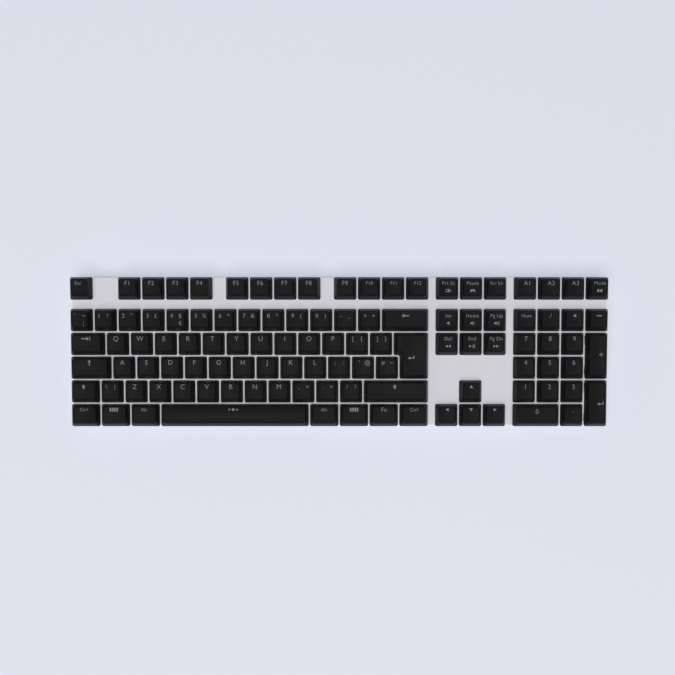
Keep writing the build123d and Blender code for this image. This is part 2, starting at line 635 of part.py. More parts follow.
# ---- tilt feet: flaps that swing down on their own stub pins ----
for side, x in zip(("left", "right"), pocket_x):
    hinge = Plane(origin=(x - field_width / 2, hinge_y, hinge_z), x_dir=(0, -1, 0), z_dir=(1, 0, 0))
    with BuildPart() as tilt_foot:
        with BuildSketch(hinge):
            Circle(knuckle_radius)
            with Locations((foot_length / 2, 0)):
                Rectangle(foot_length, 2 * foot_half_thickness)
        extrude(amount=foot_width / 2, both=True)
        fillet(tilt_foot.edges().filter_by(Axis.X).group_by(Axis.Y)[0], radius=1.2)
        with BuildSketch(hinge):
            Circle(pin_radius)
        extrude(amount=foot_width / 2 + pin_reach, both=True)
        with BuildSketch(Plane.XY.offset(hinge_z - foot_half_thickness)):
            with Locations((x - field_width / 2, hinge_y - foot_length / 2)):
                Rectangle(foot_width - 8, foot_length - 9)
        extrude(amount=2.2, mode=Mode.SUBTRACT)
    name = f"tilt_foot_{side}"
    tilt_foot.part.label = name
    export_step(tilt_foot.part, f"parts/{name}.step", write_pcurves=False)
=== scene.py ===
import json
import math

import bmesh
import bpy
from mathutils import Matrix, Vector


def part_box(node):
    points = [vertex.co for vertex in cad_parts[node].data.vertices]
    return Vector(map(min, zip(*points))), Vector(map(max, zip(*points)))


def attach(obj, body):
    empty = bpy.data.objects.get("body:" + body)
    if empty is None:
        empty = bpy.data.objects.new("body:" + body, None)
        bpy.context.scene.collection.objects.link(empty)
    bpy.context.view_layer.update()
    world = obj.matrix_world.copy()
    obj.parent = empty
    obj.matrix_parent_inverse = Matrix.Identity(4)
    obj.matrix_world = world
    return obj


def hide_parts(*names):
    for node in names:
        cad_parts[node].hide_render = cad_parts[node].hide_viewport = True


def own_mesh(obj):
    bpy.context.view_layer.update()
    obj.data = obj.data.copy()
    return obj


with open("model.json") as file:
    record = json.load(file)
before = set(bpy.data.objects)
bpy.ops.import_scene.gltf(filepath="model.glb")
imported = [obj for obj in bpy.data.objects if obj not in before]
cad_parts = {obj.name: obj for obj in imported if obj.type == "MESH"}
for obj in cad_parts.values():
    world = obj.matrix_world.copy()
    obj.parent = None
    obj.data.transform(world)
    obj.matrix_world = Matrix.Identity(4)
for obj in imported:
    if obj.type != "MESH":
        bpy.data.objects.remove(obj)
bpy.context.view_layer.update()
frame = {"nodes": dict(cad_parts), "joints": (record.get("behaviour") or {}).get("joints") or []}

# ---------------------------------------------------------------------------------------------
# The desk and the light. A pale seamless sheet, which glows a little of its own so that shadows
# stay faint, under one broad soft lamp high in front on the left, with dim light all round.
# ---------------------------------------------------------------------------------------------
desk_colour, desk_glow, desk_reach = (0.745, 0.765, 0.84, 1), 0.4, 4
lamp_place, lamp_tip, lamp_power = (-0.2, -0.7, 3.2), (math.radians(-12), math.radians(-4), 0), 38.0
room_colour, room_glow = (0.93, 0.95, 1.0, 1), 0.3


def mesh_piece(name, mesh):
    """A piece at the origin whose place is in its mesh."""
    piece = bpy.data.objects.new(name, mesh)
    bpy.context.scene.collection.objects.link(piece)
    return piece


def plain_material(name, colour, roughness, **sockets):
    """A shader with its even values set on its own sockets."""
    material = bpy.data.materials.new(name)
    material.use_nodes = True
    shader = material.node_tree.nodes["Principled BSDF"]
    shader.inputs["Base Color"].default_value = colour
    shader.inputs["Roughness"].default_value = roughness
    for socket, value in sockets.items():
        shader.inputs[socket.replace("_", " ")].default_value = value
    return material


def glowing(material, colour, strength):
    """Lets a material give off a little light of its own."""
    shader = material.node_tree.nodes["Principled BSDF"]
    shader.inputs["Emission Color"].default_value = colour
    shader.inputs["Emission Strength"].default_value = strength
    return material


desk_mesh = bpy.data.meshes.new("desk")
desk_corners = [(x * desk_reach, y * desk_reach, 0) for x, y in ((-1, -1), (1, -1), (1, 1), (-1, 1))]
desk_mesh.from_pydata(desk_corners, [], [(0, 1, 2, 3)])
desk = mesh_piece("desk", desk_mesh)
desk_mesh.materials.append(plain_material("desk_sheet", desk_colour, 0.9, Specular_IOR_Level=0.1))
glowing(desk_mesh.materials[0], desk_colour, desk_glow)

lamp = bpy.data.objects.new("lamp", bpy.data.lights.new("lamp", "AREA"))
lamp.data.shape = "RECTANGLE"
lamp.data.size, lamp.data.size_y = 1.6, 1.3
lamp.data.energy = lamp_power
lamp.location, lamp.rotation_euler = lamp_place, lamp_tip
bpy.context.scene.collection.objects.link(lamp)

world = bpy.data.worlds.new("room")
world.use_nodes = True
background = world.node_tree.nodes["Background"]
background.inputs["Color"].default_value, background.inputs["Strength"].default_value = room_colour, room_glow
bpy.context.scene.world = world
bpy.context.scene.view_settings.view_transform = "Standard"

# ---------------------------------------------------------------------------------------------
# The deck: the plane of the plate's top, which every key stands on. Its slope comes from the way
# the keys travel, and its front left corner from the plate. Key places are in units of the pitch.
# ---------------------------------------------------------------------------------------------
unit = 0.01905
plate_inset, plate_thickness = 0.0009, 0.0015
travel = Vector(frame["joints"][0]["axis"])
deck_up = -travel.normalized()
deck_angle = math.atan2(-deck_up.y, deck_up.z)
plate_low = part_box("switch_plate")[0]
deck_corner = Vector((
    plate_low.x - plate_inset,
    plate_low.y - plate_inset * math.cos(deck_angle),
    plate_low.z + plate_thickness * math.cos(deck_angle) - plate_inset * math.sin(deck_angle),
))
deck = Matrix.Translation(deck_corner) @ Matrix.Rotation(deck_angle, 4, "X")


def on_deck(x, y, z=0.0):
    """A point of the object from metres along, up and off the deck."""
    return deck @ Vector((x, y, z))


# ---------------------------------------------------------------------------------------------
# The camera hangs straight over the middle, about a metre above the caps.
# ---------------------------------------------------------------------------------------------
view_height, sensor_width, lens_length = 1.05, 36.0, 70.26667
aim = on_deck(0.2130, 0.0718, 0.0063)
camera = bpy.data.objects.new("camera", bpy.data.cameras.new("camera"))
camera.data.sensor_width, camera.data.lens = sensor_width, lens_length
camera.location = (aim.x, aim.y, aim.z + view_height)
bpy.context.scene.collection.objects.link(camera)
bpy.context.scene.camera = camera

# ---------------------------------------------------------------------------------------------
# The tray: a shallow wedge moulded in pale, finely textured plastic, a little smaller than the field
# of caps, so that they hide it from above. Two tilt feet of the same plastic fold out of its floor.
# ---------------------------------------------------------------------------------------------


grain_detail, grain_strength, cloud_share = 3, 0.5, 0.02


def grained(material, scale, depth, colour_swing=0.0, rough_swing=0.0):
    """Gives a plain material a moulded grain: bump, with a little swing in colour and roughness."""
    tree = material.node_tree
    shader = tree.nodes["Principled BSDF"]
    where = tree.nodes.new("ShaderNodeTexCoord")
    grain = tree.nodes.new("ShaderNodeTexNoise")
    grain.inputs["Scale"].default_value = scale
    grain.inputs["Detail"].default_value = grain_detail
    bump = tree.nodes.new("ShaderNodeBump")
    bump.inputs["Distance"].default_value = depth
    bump.inputs["Strength"].default_value = grain_strength
    tree.links.new(where.outputs["Object"], grain.inputs["Vector"])
    tree.links.new(grain.outputs["Fac"], bump.inputs["Height"])
    tree.links.new(bump.outputs["Normal"], shader.inputs["Normal"])
    cloud = tree.nodes.new("ShaderNodeTexNoise")
    cloud.inputs["Scale"].default_value = scale * cloud_share
    tree.links.new(where.outputs["Object"], cloud.inputs["Vector"])
    if rough_swing:
        rough = shader.inputs["Roughness"].default_value
        spread = tree.nodes.new("ShaderNodeMapRange")
        spread.inputs["To Min"].default_value = rough - rough_swing
        spread.inputs["To Max"].default_value = rough + rough_swing
        tree.links.new(cloud.outputs["Fac"], spread.inputs["Value"])
        tree.links.new(spread.outputs["Result"], shader.inputs["Roughness"])
    if colour_swing:
        colour = shader.inputs["Base Color"].default_value
        mix = tree.nodes.new("ShaderNodeMix")
        mix.data_type = "RGBA"
        mix.inputs["A"].default_value = [c * (1 - colour_swing) for c in colour[:3]] + [1]
        mix.inputs["B"].default_value = [min(1, c * (1 + colour_swing)) for c in colour[:3]] + [1]
        tree.links.new(cloud.outputs["Fac"], mix.inputs["Factor"])
        tree.links.new(mix.outputs["Result"], shader.inputs["Base Color"])
    return material


def dress(material, *nodes):
    """Gives CAD nodes a finished material."""
    for node in nodes:
        frame["nodes"][node].material_slots[0].material = material


pale = (0.72, 0.74, 0.80, 1)
tray_plastic = grained(plain_material("tray_plastic", pale, 0.55), 2600, 0.00006, 0.04, 0.05)
dress(tray_plastic, "bottom_tray", "tilt_foot_left", "tilt_foot_right")

# ---------------------------------------------------------------------------------------------
# Four pads of black rubber are glued into the tray's floor, and keep it from sliding.
# ---------------------------------------------------------------------------------------------
rubber = grained(plain_material("pad_rubber", (0.02, 0.02, 0.021, 1), 0.8), 3500, 0.00008, 0.2, 0.08)
dress(rubber, "rubber_feet")

# ---------------------------------------------------------------------------------------------
# The socket for a detachable lead: a drawn steel sleeve, tin-plated, at the back of the board.
# ---------------------------------------------------------------------------------------------
tinned = plain_material("tinned_steel", (0.62, 0.62, 0.63, 1), 0.28, Metallic=1.0)
dress(grained(tinned, 900, 0.00001, 0.06, 0.06), "socket_inlet")

# ---------------------------------------------------------------------------------------------
# Brass standoffs are pressed into the plate, and machine screws run up into them from below.
# ---------------------------------------------------------------------------------------------
brass = plain_material("turned_brass", (0.72, 0.50, 0.20, 1), 0.3, Metallic=1.0)
dress(grained(brass, 1400, 0.00001, 0.08, 0.06), "plate_standoffs")
zinc = plain_material("zinc_plate", (0.55, 0.56, 0.58, 1), 0.35, Metallic=1.0)
dress(grained(zinc, 1800, 0.00001, 0.08, 0.06), "tray_screws")

# ---------------------------------------------------------------------------------------------
# The circuit board: glass-filled resin under green mask, with a diode for each switch.
# ---------------------------------------------------------------------------------------------
mask = grained(plain_material("board_mask", (0.015, 0.09, 0.045, 1), 0.35), 1500, 0.00002, 0.25, 0.05)
dress(mask, "circuit_board")
epoxy = grained(plain_material("moulded_epoxy", (0.018, 0.018, 0.018, 1), 0.5), 3000, 0.00002, 0.15, 0.05)
dress(epoxy, "board_components")

# ---------------------------------------------------------------------------------------------
# The plate: steel, stamped with a square opening for each switch and powder-coated near white.
# Its coat is given a glow of its own, painted light that keeps it bright and even between the caps.
# ---------------------------------------------------------------------------------------------
coat_grey, coat_painted_glow = (0.62, 0.62, 0.655, 1), 0.45
coat = grained(plain_material("powder_coat", coat_grey, 0.6), 1900, 0.00005, 0.03, 0.05)
# Painted light: the plate's coat glows though it is no lamp.
dress(glowing(coat, coat_grey, coat_painted_glow), "switch_plate")

# ---------------------------------------------------------------------------------------------
# The switches' two shells are clear-white moulded plastic, so that light passes through them, and they
# have a faint painted glow of their own. The contact leaves are bronze, and the stabilisers' guides are
# white.
# ---------------------------------------------------------------------------------------------
shell_white, shell_painted_glow = (0.78, 0.79, 0.82, 1), 0.3
milky = plain_material("milky_shell", shell_white, 0.3, Subsurface_Weight=0.3)
grained(milky, 1500, 0.00001, 0.03, 0.05)
# Painted light: the shells glow faintly though they are no lamp.
dress(glowing(milky, shell_white, shell_painted_glow), "switch_housings", "switch_covers")
guide_plastic = plain_material("guide_plastic", (0.74, 0.74, 0.74, 1), 0.4)
dress(grained(guide_plastic, 1500, 0.00001, 0.04, 0.05), "stabiliser_housings")
bronze = plain_material("leaf_bronze", (0.66, 0.42, 0.24, 1), 0.25, Metallic=1.0)
dress(grained(bronze, 1800, 0.00001, 0.08, 0.05), "switch_contacts")
steel = plain_material("drawn_steel", (0.58, 0.58, 0.59, 1), 0.24, Metallic=1.0)
grained(steel, 2400, 0.00001, 0.06, 0.06)
dress(steel, *(node for node in frame["nodes"] if node.startswith("wire_")))

# ---------------------------------------------------------------------------------------------
# The keys by row: middle of the row on the deck, height of a cap over its skirt, rise of its top
# towards the back, and how far behind its middle the legend stands.
# ---------------------------------------------------------------------------------------------
rows = {
    "function": (5.82, 0.0112, math.tan(math.radians(8)), 0.0048),
    "number": (4.5, 0.0112, math.tan(math.radians(8)), 0.0042),
    "upper": (3.5, 0.0100, math.tan(math.radians(4.5)), 0.0050),
    "home": (2.5, 0.0094, math.tan(math.radians(1)), 0.0051),
    "lower": (1.5, 0.0095, math.tan(math.radians(-3.5)), 0.0048),
    "bottom": (0.5, 0.0096, math.tan(math.radians(-4)), 0.0056),
}
# Each body's row, left edge, width of a cap, and what its caps say. A word in front of a bar stands
# over a figure, a lone figure's name begins with @, and marks in brackets stand side by side, the
# third under the second.
key_groups = {
    "key_escape": ("function", 0, 1, ["Esc"]),
    "keys_f1_to_f4": ("function", 2, 1, ["F1", "F2", "F3", "F4"]),
    "keys_f5_to_f8": ("function", 6.5, 1, ["F5", "F6", "F7", "F8"]),
    "keys_f9_to_f12": ("function", 11, 1, ["F9", "F10", "F11", "F12"]),
    "keys_print_scroll_pause": ("function", 15.25, 1, ["Prt Sc|plug", "Pause|pad", "Scr Lk"]),
    "keys_macro_and_mode": ("function", 18.5, 1, ["A1", "A2", "A3", "Mode|squares"]),
    "keys_number_row": ("number", 0, 1, [
        ("`", "¬", "¦"), ("1", "!"), ("2", '"'), ("3", "£"), ("4", "$", "€"), ("5", "%"), ("6", "^"),
        ("7", "&"), ("8", "*"), ("9", "("), ("0", ")"), ("-", "_"), ("=", "+"),
    ]),
    "key_backspace": ("number", 13, 2, ["@arrow_left"]),
    "keys_insert_home_page_up": ("number", 15.25, 1, ["Ins|mute", "Home|softer", "Pg Up|louder"]),
    "keys_numpad_operators": ("number", 18.5, 1, ["Num", "/", "@star", "@minus"]),
    "key_tab": ("upper", 0, 1.5, ["@tab"]),
    "keys_letters_upper": ("upper", 1.5, 1, [*"QWERTYUIOP", ("[", "{"), ("]", "}")]),
    "keys_delete_end_page_down": ("upper", 15.25, 1, ["Del|back", "End|play", "Pg Dn|next"]),
    "keys_numpad_789": ("upper", 18.5, 1, ["7", "8", "9"]),
    "key_caps_lock": ("home", 0, 1.75, ["@arrow_up"]),
    "keys_letters_home": ("home", 1.75, 1, [*"ASDFGHJKL", (";", ":"), ("'", "@"), ("#", "~")]),
    "keys_numpad_456": ("home", 18.5, 1, ["4", "5", "6"]),
    "key_shift_left": ("lower", 0, 1.25, ["@shift"]),
    "keys_letters_lower": ("lower", 1.25, 1, [("\\", "|"), *"ZXCVBNM", (",", "<"), (".", ">"), ("/", "?")]),
    "key_shift_right": ("lower", 12.25, 2.75, ["@shift_long"]),
    "key_arrow_up": ("lower", 16.25, 1, ["@up"]),
    "keys_numpad_123": ("lower", 18.5, 1, ["1", "2", "3"]),
    "key_control_left": ("bottom", 0, 1.25, ["Ctrl"]),
    "key_system_left": ("bottom", 1.25, 1.25, ["@four"]),
    "key_alt_left": ("bottom", 2.5, 1.25, ["Alt"]),
    "key_space": ("bottom", 3.75, 6.25, ["@dots"]),
    "key_alt_right": ("bottom", 10, 1.25, ["Alt"]),
    "key_system_right": ("bottom", 11.25, 1.25, ["@four"]),
    "key_layer": ("bottom", 12.5, 1.25, ["Fn"]),
    "key_control_right": ("bottom", 13.75, 1.25, ["Ctrl"]),
    "key_arrow_left": ("bottom", 15.25, 1, ["@left"]),
    "key_arrow_down": ("bottom", 16.25, 1, ["@down"]),
    "key_arrow_right": ("bottom", 17.25, 1, ["@right"]),
    "key_numpad_0": ("bottom", 18.5, 2, ["0"]),
    "key_numpad_point": ("bottom", 20.5, 1, ["."]),
}
# Keys two rows deep: column of their middle, border of rows that they straddle, height, rise and legend.
tall_keys = {
    "key_numpad_plus": (22.0, 3.0, 0.0097, math.tan(math.radians(2.5)), "+"),
    "key_numpad_enter": (22.0, 1.0, 0.0096, math.tan(math.radians(-3.5)), "@enter"),
}
enter_place, enter_height, enter_rise = (14.375 * unit, 3.0 * unit), 0.0097, math.tan(math.radians(2.5))

key_places = {
    name: [((left + width * (n + 0.5)) * unit, rows[row][0] * unit) for n in range(len(says))]
    for name, (row, left, width, says) in key_groups.items()
}
key_places |= {name: [(column * unit, border * unit)] for name, (column, border, *_) in tall_keys.items()}
key_places["key_enter"] = [enter_place]

# ---------------------------------------------------------------------------------------------
# Cap plastic: black, dyed through, with a fine spark-eroded grain that is smoother where fingers
# rest. The legends are a second shot of pale grey plastic, moulded through the first.
# ---------------------------------------------------------------------------------------------
cap_black, legend_grey = (0.0186, 0.0186, 0.0189, 1), (0.29, 0.29, 0.30, 1)


def worn_where_touched(material, shine):
    """Lowers the roughness where the mesh says that fingers rest."""
    tree = material.node_tree
    shader = tree.nodes["Principled BSDF"]
    touch = tree.nodes.new("ShaderNodeAttribute")
    touch.attribute_name = "touch"
    less = tree.nodes.new("ShaderNodeMath")
    less.operation = "MULTIPLY_ADD"
    less.inputs[1].default_value = -shine
    before = shader.inputs["Roughness"].links[0].from_socket
    tree.links.new(touch.outputs["Fac"], less.inputs[0])
    tree.links.new(before, less.inputs[2])
    tree.links.new(less.outputs[0], shader.inputs["Roughness"])
    return material


cap_plastic = plain_material("cap_plastic", cap_black, 0.42, Specular_IOR_Level=0.035)
grained(cap_plastic, 5200, 0.00002, colour_swing=0.1, rough_swing=0.04)
worn_where_touched(cap_plastic, 0.06)
legend_plastic = grained(plain_material("legend_plastic", legend_grey, 0.5), 5200, 0.00001, 0.05)

# ---------------------------------------------------------------------------------------------
# The cap: a thin shell whose four walls lean in by different amounts to a dished top. The front
# leans most, so the top sits back. One rule makes every straight cap, from the letters to the space
# bar, whose top is crowned: a grid is laid over the top and folded down into the walls.
# ---------------------------------------------------------------------------------------------
cap_gap, skirt_height = 0.00105, 0.0063
side_lean, front_lean, rear_lean = 0.0025, 0.0037, 0.0009
cap_wall, dish_depth, crown_drop = 0.0014, 0.0007, 0.00095
base_corner, top_corner, edge_round = 0.0015, 0.0024, 0.0010
rounding_rings, wall_rings = 4, 4
grid_step, fewest_cells = 0.00065, 14
roof_depth, roof_back = 0.0018, 0.8
weld, tiny = 1e-7, 1e-9
top_back = (front_lean - rear_lean) / 2


class Flow:
    """A number on its way through a tree of nodes: working with flows adds the nodes that do it."""

    def __init__(self, tree, socket):
        self.tree, self.socket = tree, socket

    def put(self, operation, *others):
        node = self.tree.nodes.new("ShaderNodeMath")
        node.operation = operation
        for socket, value in zip(node.inputs, (self, *others)):
            if isinstance(value, Flow):
                self.tree.links.new(value.socket, socket)
            else:
                socket.default_value = value
        return Flow(self.tree, node.outputs[0])

    def __add__(self, other):
        return self.put("ADD", other)

    def __sub__(self, other):
        return self.put("SUBTRACT", other)

    def __mul__(self, other):
        return self.put("MULTIPLY", other)

    def __truediv__(self, other):
        return self.put("DIVIDE", other)

    def __neg__(self):
        return self.put("MULTIPLY", -1.0)

    def rest(self):
        """What is left of one."""
        return (-self).put("ADD", 1.0)

    def at_most(self, other):
        return self.put("MINIMUM", other)

    def at_least(self, other):
        return self.put("MAXIMUM", other)

    def size(self):
        return self.put("ABSOLUTE")


def wired(tree, kind, settings=(), **links):
    """A new node with its settings, and its inputs linked or set by name."""
    node = tree.nodes.new(kind)
    for name, value in dict(settings).items():
        setattr(node, name, value)
    for name, value in links.items():
        socket = node.inputs[name.replace("_", " ")]
        value = value.socket if isinstance(value, Flow) else value
        if isinstance(value, bpy.types.NodeSocket):
            tree.links.new(value, socket)
        else:
            socket.default_value = value
    return node


def new_tree(name, **numbers):
    """An empty tree that takes points and the named numbers, and gives geometry."""
    tree = bpy.data.node_groups.new(name, "GeometryNodeTree")
    tree.interface.new_socket("Points", in_out="INPUT", socket_type="NodeSocketGeometry")
    for number, kind in numbers.items():
        tree.interface.new_socket(number, in_out="INPUT", socket_type=kind)
    tree.interface.new_socket("Geometry", in_out="OUTPUT", socket_type="NodeSocketGeometry")
    entry, leave = tree.nodes.new("NodeGroupInput"), tree.nodes.new("NodeGroupOutput")
    return tree, entry, leave, [Flow(tree, entry.outputs[number]) for number in numbers]


def stand_on_points(tree, entry, leave, shape, material):
    """Stands a shape on every point of the modified object, tipped as the deck is."""
    spots = wired(tree, "GeometryNodeInstanceOnPoints", Points=entry.outputs["Points"], Instance=shape)
    spots.inputs["Rotation"].default_value = (deck_angle, 0, 0)
    real = wired(tree, "GeometryNodeRealizeInstances", Geometry=spots.outputs["Instances"])
    done = wired(tree, "GeometryNodeSetMaterial", Geometry=real.outputs["Geometry"], Material=material)
    tree.links.new(done.outputs["Geometry"], leave.inputs["Geometry"])


def grown(name, places, height, tree, **settings):
    """Runs a tree on points over the deck, and returns what it makes as a plain mesh piece."""
    mesh = bpy.data.meshes.new(name + "_points")
    mesh.from_pydata([on_deck(x, y, height) for x, y in places], [], [])
    piece = mesh_piece(name, mesh)
    modifier = piece.modifiers.new("growth", "NODES")
    modifier.node_group = tree
    identifiers = {s.name: s.identifier for s in tree.interface.items_tree if s.in_out == "INPUT"}
    for setting, value in settings.items():
        modifier[identifiers[setting]] = value
    graph = bpy.context.evaluated_depsgraph_get()
    made = bpy.data.meshes.new_from_object(piece.evaluated_get(graph), depsgraph=graph)
    piece.modifiers.remove(modifier)
    piece.data = made
    bpy.data.meshes.remove(mesh)
    made.name = name
    return piece


touching, sliver = 1e-6, 1e-7


def face_outwards(mesh, sharp=48):
    """Merges what meets, turns every face of a closed mesh outwards, and marks its sharp edges."""
    work = bmesh.new()
    work.from_mesh(mesh)
    bmesh.ops.remove_doubles(work, verts=work.verts, dist=touching)
    bmesh.ops.dissolve_degenerate(work, edges=work.edges, dist=sliver)
    bmesh.ops.recalc_face_normals(work, faces=work.faces)
    for face in work.faces:
        face.smooth = True
    work.to_mesh(mesh)
    work.free()
    mesh.set_sharp_from_angle(angle=math.radians(sharp))


def cap_tree():
    """The tree of the cap's rule."""
    number, count = "NodeSocketFloat", "NodeSocketInt"
    tree, entry, leave, (width, depth, height, rise, dish, crown, across, along) = new_tree(
        "cap_shape", Width=number, Depth=number, Height=number, Rise=number,
        Dish=number, Arch=number, Across=count, Along=count,
    )
    none = width * 0.0
    rings = rounding_rings + wall_rings
    sheet = wired(tree, "GeometryNodeMeshGrid", Size_X=across - 1.0, Size_Y=along - 1.0)
    tree.links.new(across.socket, sheet.inputs["Vertices X"])
    tree.links.new(along.socket, sheet.inputs["Vertices Y"])
    where = tree.nodes.new("GeometryNodeInputPosition")
    parts = wired(tree, "ShaderNodeSeparateXYZ", Vector=where.outputs[0])
    sheet_x, sheet_y = Flow(tree, parts.outputs["X"]), Flow(tree, parts.outputs["Y"])
    flat_x, flat_y = (across - 1.0) * 0.5 - float(rings), (along - 1.0) * 0.5 - float(rings)
    out = (sheet_x.size() - flat_x).at_least(sheet_y.size() - flat_y).at_least(0.0)
    share_x = sheet_x.at_most(flat_x).at_least(-flat_x) / flat_x
    share_y = sheet_y.at_most(flat_y).at_least(-flat_y) / flat_y
    bend = (out / float(rounding_rings)).at_most(1.0)
    first = (none + edge_round) / height
    down = first + ((out - float(rounding_rings)) / float(wall_rings)).at_least(0.0) * first.rest()

    def outline(lowered, inset, corner):
        """Where the sheet's point lies on the rounded outline at a share of the way down."""
        half = width * 0.5 - (side_lean + inset) + lowered * side_lean
        front = depth * -0.5 + (front_lean + inset) - lowered * front_lean
        rear = depth * 0.5 - (rear_lean + inset) + lowered * rear_lean
        half_deep, middle = (rear - front) * 0.5, (rear + front) * 0.5
        x, y = share_x * half, share_y * half_deep
        inner_x, inner_y = half - corner, half_deep - corner
        core_x, core_y = x.at_most(inner_x).at_least(-inner_x), y.at_most(inner_y).at_least(-inner_y)
        past_x, past_y = x - core_x, y - core_y
        longest = past_x.size().at_least(past_y.size())
        reach = (past_x * past_x + past_y * past_y).put("SQRT") + tiny
        pull = longest / reach
        return core_x + past_x * pull, core_y + past_y * pull + middle

    half_top, half_top_deep = width * 0.5 - side_lean, (depth - (front_lean + rear_lean)) * 0.5

    def top_height(x, y):
        """The dished, tilted or crowned surface of the top."""
        sideways, lengthways = x / half_top, (y - top_back) / half_top_deep
        return height + (y - top_back) * rise + dish * sideways * sideways - crown * lengthways * lengthways

    top_x, top_y = outline(none, edge_round, none + (top_corner - edge_round / 2))
    rim_x, rim_y = outline(none, 0.0, none + top_corner)
    wall_x, wall_y = outline(down, 0.0, down * (base_corner - top_corner) + top_corner)
    top_z, rim_z = top_height(top_x, top_y), top_height(rim_x, rim_y)
    wall_z = rim_z * down.rest()
    before, between, after = bend.rest() * bend.rest(), bend * bend.rest() * 2.0, bend * bend
    folded = [
        a * before + b * between + c * after
        for a, b, c in ((top_x, rim_x, wall_x), (top_y, rim_y, wall_y), (top_z, rim_z, wall_z))
    ]
    place = wired(tree, "ShaderNodeCombineXYZ", X=folded[0], Y=folded[1], Z=folded[2])
    touch = (share_x * share_x).rest() * (share_y * share_y).rest() * out.rest().at_least(0.0)
    noted = wired(
        tree, "GeometryNodeStoreNamedAttribute", {"data_type": "FLOAT", "domain": "POINT"},
        Geometry=sheet.outputs["Mesh"], Name="touch", Value=touch,
    )
    shell = wired(
        tree, "GeometryNodeSetPosition", Geometry=noted.outputs["Geometry"], Position=place.outputs["Vector"]
    )
    welded = wired(tree, "GeometryNodeMergeByDistance", Geometry=shell.outputs["Geometry"], Distance=weld)

    # The skirt's edge turns in by the wall's thickness, rises to the roof and closes over.
    sides = tree.nodes.new("GeometryNodeInputMeshEdgeNeighbors")
    open_edge = wired(tree, "FunctionNodeCompare", {"data_type": "INT", "operation": "EQUAL"})
    tree.links.new(sides.outputs["Face Count"], open_edge.inputs[2])
    open_edge.inputs[3].default_value = 1
    now = wired(tree, "ShaderNodeSeparateXYZ", Vector=tree.nodes.new("GeometryNodeInputPosition").outputs[0])
    now_x, now_y, now_z = (Flow(tree, now.outputs[axis]) for axis in "XYZ")

    def drawn_in(by):
        """The rim's place once it is drawn in by a length from each side."""
        return now_x * ((none + 2 * by) / width).rest(), now_y * ((none + 2 * by) / depth).rest()

    roof, roof_middle = height - (none + roof_depth), top_back * roof_back
    (lip_x, lip_y), (roof_x, roof_y) = drawn_in(cap_wall), drawn_in(side_lean)
    steps = (
        (lip_x, lip_y, now_z),
        (roof_x, roof_y + roof_middle, roof),
        (now_x * 0.0, now_y * 0.0 + roof_middle, now_z),
    )
    mesh, chosen = welded.outputs["Geometry"], open_edge.outputs[0]
    for x, y, z in steps:
        pulled = wired(
            tree, "GeometryNodeExtrudeMesh", {"mode": "EDGES"}, Mesh=mesh, Selection=chosen, Offset_Scale=0.0
        )
        spot = wired(tree, "ShaderNodeCombineXYZ", X=x, Y=y, Z=z)
        moved = wired(
            tree, "GeometryNodeSetPosition", Geometry=pulled.outputs["Mesh"],
            Selection=pulled.outputs["Top"], Position=spot.outputs["Vector"],
        )
        mesh, chosen = moved.outputs["Geometry"], pulled.outputs["Top"]
    closed = wired(tree, "GeometryNodeMergeByDistance", Geometry=mesh, Distance=weld)
    stand_on_points(tree, entry, leave, closed.outputs["Geometry"], cap_plastic)
    return tree


cap_rule = cap_tree()


def keep_as_cap(piece, key):
    """Settles a finished piece that belongs to a key's cap."""
    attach(piece, key)
    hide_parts(key)


def grow_caps(key, columns, deep, height, rise):
    """The caps of one key body, from the cap's rule."""
    width, depth = columns * unit - cap_gap, deep * unit - cap_gap
    cells = [max(fewest_cells, round((span - lean - 2 * edge_round) / grid_step))
             for span, lean in ((width, 2 * side_lean), (depth, front_lean + rear_lean))]
    crowned = key == "key_space"
    piece = grown(
        "cap_" + key, key_places[key], skirt_height, cap_rule, Width=width, Depth=depth, Height=height,
        Rise=rise, Dish=0.0 if crowned else dish_depth, Arch=crown_drop if crowned else 0.0,
        Across=cells[0] + 2 * (rounding_rings + wall_rings) + 1,
        Along=cells[1] + 2 * (rounding_rings + wall_rings) + 1,
    )
    face_outwards(piece.data)
    keep_as_cap(piece, key)


for key, (row, _, columns, _) in key_groups.items():
    grow_caps(key, columns, 1, rows[row][1], rows[row][2])
for key, (_, _, height, rise, _) in tall_keys.items():
    grow_caps(key, 1, 2, height, rise)

# ---------------------------------------------------------------------------------------------
# The stepped Enter cap, moulded like the others, with one more corner and a notch: its upper half
# is a quarter of a unit wider to the left. Its dish is centred on the lower half.
# ---------------------------------------------------------------------------------------------
enter_half = 0.625 * unit - cap_gap / 2
enter_wing = 0.25 * unit
arc_steps, edge_steps = 6, 12
flat_corner, rim_corner, wall_corner, pocket_corner = 0.0008, 0.0012, 0.0013, 0.0006


def enter_outline(side, front, rear, corner, z):
    """The stepped outline, stood in by side, front and rear, as a ring of points."""
    right, low_left = enter_half - side, side - enter_half
    high_left = low_left - enter_wing
    low, step, high = front + cap_gap / 2 - unit, front + cap_gap / 2, unit - cap_gap / 2 - rear
    corners = [Vector(corner_at) for corner_at in (
        (low_left, low), (right, low), (right, high), (high_left, high), (high_left, step), (low_left, step)
    )]
    ring = []
    for n, here in enumerate(corners):
        arrive = (here - corners[n - 1]).normalized()
        go = (corners[(n + 1) % 6] - here).normalized()
        centre = here + corner * (go - arrive)
        for k in range(arc_steps + 1):
            turn = math.pi / 2 * k / arc_steps
            ring.append(centre + corner * (math.sin(turn) * arrive - math.cos(turn) * go))
        start, end = here + corner * go, corners[(n + 1) % 6] - corner * go
        ring += [start.lerp(end, k / edge_steps) for k in range(1, edge_steps)]
    return [Vector((p.x, p.y, z)) for p in ring]


def enter_top(x, y):
    """The height of the Enter cap's top, dished over its lower half's width."""
    return enter_height + dish_depth * min(1.0, (x / (enter_half - side_lean)) ** 2) + y * enter_rise


